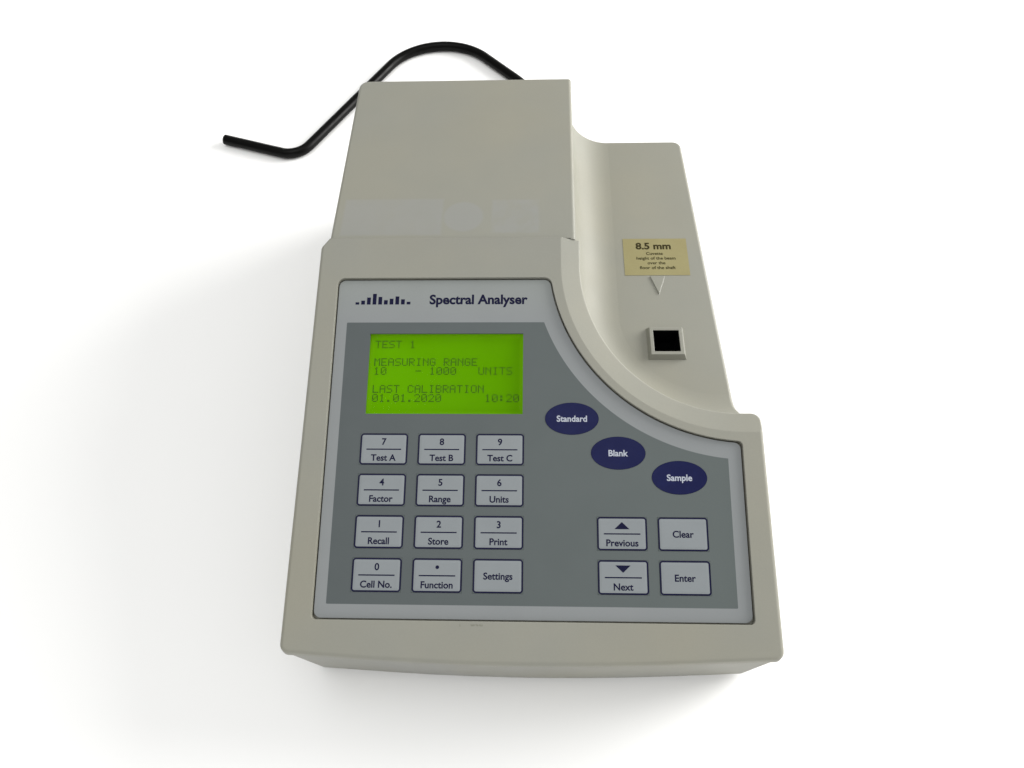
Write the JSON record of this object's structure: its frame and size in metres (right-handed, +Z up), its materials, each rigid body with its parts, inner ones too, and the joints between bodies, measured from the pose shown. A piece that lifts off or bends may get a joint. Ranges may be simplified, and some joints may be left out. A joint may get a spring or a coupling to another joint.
{
  "type": "spectrophotometer",
  "caption": "Bench spectrophotometer with a sloping membrane keyboard, a sunk green display, a square cuvette shaft in a low deck, a rear tower and a mains lead.",
  "frame": {"origin": "on the bench plane, under the middle of the housing's length and width", "axes": "+X to the operator's right, +Y from the keyboard to the back, +Z up"},
  "size_m": [0.318, 0.4629, 0.0994],
  "materials": {
    "housing": "fine spark-eroded grain, light warm grey",
    "tray": "fine spark-eroded grain, light warm grey",
    "foil": "satin printed polyester foil",
    "key_light": "satin light grey printed foil with a dark blue outline",
    "key_blue": "satin dark blue printed foil",
    "layer": "plain polyester film",
    "dome": "pressed stainless snap domes",
    "window": "clear acrylic",
    "lcd": "yellow-green reflective display",
    "steel": "zinc-plated steel",
    "board": "green solder mask",
    "component": "moulded black",
    "black": "matt black",
    "aluminium": "milled",
    "lens": "polished glass",
    "brass": "nickel-free brass",
    "rubber": "soft black rubber",
    "cord": "smooth black PVC sheath",
    "label": "printed yellow film label",
    "ribbon": "grey flat cable"
  },
  "bodies": {
    "housing": {"base_tray": "tray", "beam_label": "label", "board_parts": "component", "board_screws": "steel", "concave_grating": "lens", "condenser_lens": "lens", "cuvette_collar": "housing", "cuvette_holder": "black", "cuvette_spring": "steel", "diode_array": "board", "display_window": "window", "flash_lamp": "lens", "front_cover": "housing", "housing_screws": "steel", "inlet_pins": "brass", "jack_screws": "steel", "key_domes": "dome", "keypad_circuit": "layer", "keypad_overlay": "foil", "keypad_spacer": "layer", "lamp_housing": "black", "lcd_backlight": "lcd", "lcd_board": "board", "lcd_frame": "steel", "lcd_glass": "lcd", "main_board": "board", "mains_inlet": "black", "optics_plate": "aluminium", "power_board": "board", "power_transformer": "steel", "rear_cover": "housing", "rear_panel": "steel", "ribbon_cables": "ribbon", "rubber_feet": "rubber", "serial_port": "steel", "spectrometer_box": "aluminium", "switch_frame": "black"},
    "mains_switch": {"mains_switch": "black"},
    "fuse_drawer": {"fuse_drawer": "black"},
    "mains_lead": {"mains_plug": "black", "mains_cord": "cord"},
    "key_0": {"key_0": "key_light"},
    "key_1": {"key_1": "key_light"},
    "key_2": {"key_2": "key_light"},
    "key_3": {"key_3": "key_light"},
    "key_4": {"key_4": "key_light"},
    "key_5": {"key_5": "key_light"},
    "key_6": {"key_6": "key_light"},
    "key_7": {"key_7": "key_light"},
    "key_8": {"key_8": "key_light"},
    "key_9": {"key_9": "key_light"},
    "key_blank": {"key_blank": "key_blue"},
    "key_clear": {"key_clear": "key_light"},
    "key_down": {"key_down": "key_light"},
    "key_enter": {"key_enter": "key_light"},
    "key_point": {"key_point": "key_light"},
    "key_sample": {"key_sample": "key_blue"},
    "key_setup": {"key_setup": "key_light"},
    "key_standard": {"key_standard": "key_blue"},
    "key_up": {"key_up": "key_light"}
  },
  "joints": [
    {"name": "key_0_press", "type": "slide", "parent": "housing", "child": "key_0", "axis": [0, 0.2656, -0.9641], "range_m": [0, 0.0004], "stiffness_N_per_m": 2500},
    {"name": "key_1_press", "type": "slide", "parent": "housing", "child": "key_1", "axis": [0, 0.2656, -0.9641], "range_m": [0, 0.0004], "stiffness_N_per_m": 2500},
    {"name": "key_2_press", "type": "slide", "parent": "housing", "child": "key_2", "axis": [0, 0.2656, -0.9641], "range_m": [0, 0.0004], "stiffness_N_per_m": 2500},
    {"name": "key_3_press", "type": "slide", "parent": "housing", "child": "key_3", "axis": [0, 0.2656, -0.9641], "range_m": [0, 0.0004], "stiffness_N_per_m": 2500},
    {"name": "key_4_press", "type": "slide", "parent": "housing", "child": "key_4", "axis": [0, 0.2656, -0.9641], "range_m": [0, 0.0004], "stiffness_N_per_m": 2500},
    {"name": "key_5_press", "type": "slide", "parent": "housing", "child": "key_5", "axis": [0, 0.2656, -0.9641], "range_m": [0, 0.0004], "stiffness_N_per_m": 2500},
    {"name": "key_6_press", "type": "slide", "parent": "housing", "child": "key_6", "axis": [0, 0.2656, -0.9641], "range_m": [0, 0.0004], "stiffness_N_per_m": 2500},
    {"name": "key_7_press", "type": "slide", "parent": "housing", "child": "key_7", "axis": [0, 0.2656, -0.9641], "range_m": [0, 0.0004], "stiffness_N_per_m": 2500},
    {"name": "key_8_press", "type": "slide", "parent": "housing", "child": "key_8", "axis": [0, 0.2656, -0.9641], "range_m": [0, 0.0004], "stiffness_N_per_m": 2500},
    {"name": "key_9_press", "type": "slide", "parent": "housing", "child": "key_9", "axis": [0, 0.2656, -0.9641], "range_m": [0, 0.0004], "stiffness_N_per_m": 2500},
    {"name": "key_blank_press", "type": "slide", "parent": "housing", "child": "key_blank", "axis": [0, 0.2656, -0.9641], "range_m": [0, 0.0004], "stiffness_N_per_m": 2500},
    {"name": "key_clear_press", "type": "slide", "parent": "housing", "child": "key_clear", "axis": [0, 0.2656, -0.9641], "range_m": [0, 0.0004], "stiffness_N_per_m": 2500},
    {"name": "key_down_press", "type": "slide", "parent": "housing", "child": "key_down", "axis": [0, 0.2656, -0.9641], "range_m": [0, 0.0004], "stiffness_N_per_m": 2500},
    {"name": "key_enter_press", "type": "slide", "parent": "housing", "child": "key_enter", "axis": [0, 0.2656, -0.9641], "range_m": [0, 0.0004], "stiffness_N_per_m": 2500},
    {"name": "key_point_press", "type": "slide", "parent": "housing", "child": "key_point", "axis": [0, 0.2656, -0.9641], "range_m": [0, 0.0004], "stiffness_N_per_m": 2500},
    {"name": "key_sample_press", "type": "slide", "parent": "housing", "child": "key_sample", "axis": [0, 0.2656, -0.9641], "range_m": [0, 0.0004], "stiffness_N_per_m": 2500},
    {"name": "key_setup_press", "type": "slide", "parent": "housing", "child": "key_setup", "axis": [0, 0.2656, -0.9641], "range_m": [0, 0.0004], "stiffness_N_per_m": 2500},
    {"name": "key_standard_press", "type": "slide", "parent": "housing", "child": "key_standard", "axis": [0, 0.2656, -0.9641], "range_m": [0, 0.0004], "stiffness_N_per_m": 2500},
    {"name": "key_up_press", "type": "slide", "parent": "housing", "child": "key_up", "axis": [0, 0.2656, -0.9641], "range_m": [0, 0.0004], "stiffness_N_per_m": 2500},
    {"name": "mains_switch_rock", "type": "hinge", "parent": "housing", "child": "mains_switch", "pos_m": [-0.026, 0.142, 0.027], "axis": [1, 0, 0], "range_deg": [0, 16]},
    {"name": "fuse_drawer_slide", "type": "slide", "parent": "housing", "child": "fuse_drawer", "axis": [0, 1, 0], "range_m": [0, 0.018]},
    {"name": "mains_lead_unplug", "type": "slide", "parent": "housing", "child": "mains_lead", "axis": [0, 1, 0], "range_m": [0, 0.03]}
  ]
}
